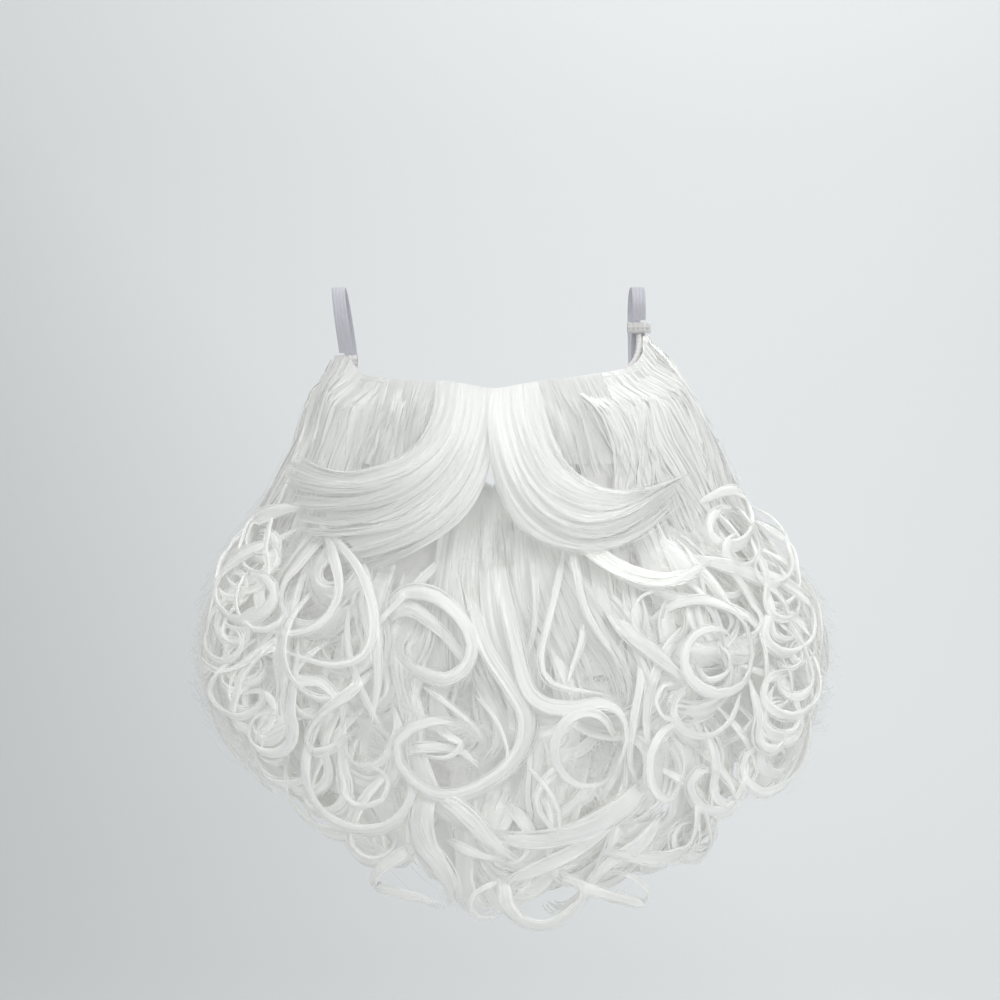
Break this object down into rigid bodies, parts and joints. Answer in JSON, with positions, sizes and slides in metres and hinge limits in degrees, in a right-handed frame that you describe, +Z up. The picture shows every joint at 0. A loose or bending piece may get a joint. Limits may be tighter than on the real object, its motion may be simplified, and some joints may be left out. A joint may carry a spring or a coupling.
{
  "type": "fake beard with moustache and elastic ear loops",
  "caption": "Curly white false beard and swept moustache on a fabric backing with a mouth opening, worn on elastic ear loops.",
  "frame": {"origin": "midway between the wearer's ears, level with the top of the ear loops, where the beard hangs", "axes": "+Z up, -Y the way the wearer faces, +X towards the wearer's left ear (right in the front view)"},
  "size_m": [0.3322, 0.1939, 0.3116],
  "materials": {
    "hair": "satin synthetic fibre",
    "backing_cloth": "matte woven cloth",
    "elastic": "matte ribbed elastic"
  },
  "bodies": {
    "root": {"backing": "backing_cloth", "moustache_left": "hair", "moustache_right": "hair", "chin_hair": "hair", "side_hair_left": "hair", "side_hair_right": "hair", "loop_tab_left": "backing_cloth", "loop_tab_right": "backing_cloth", "ear_loop_left": "elastic", "ear_loop_right": "elastic"}
  },
  "joints": []
}
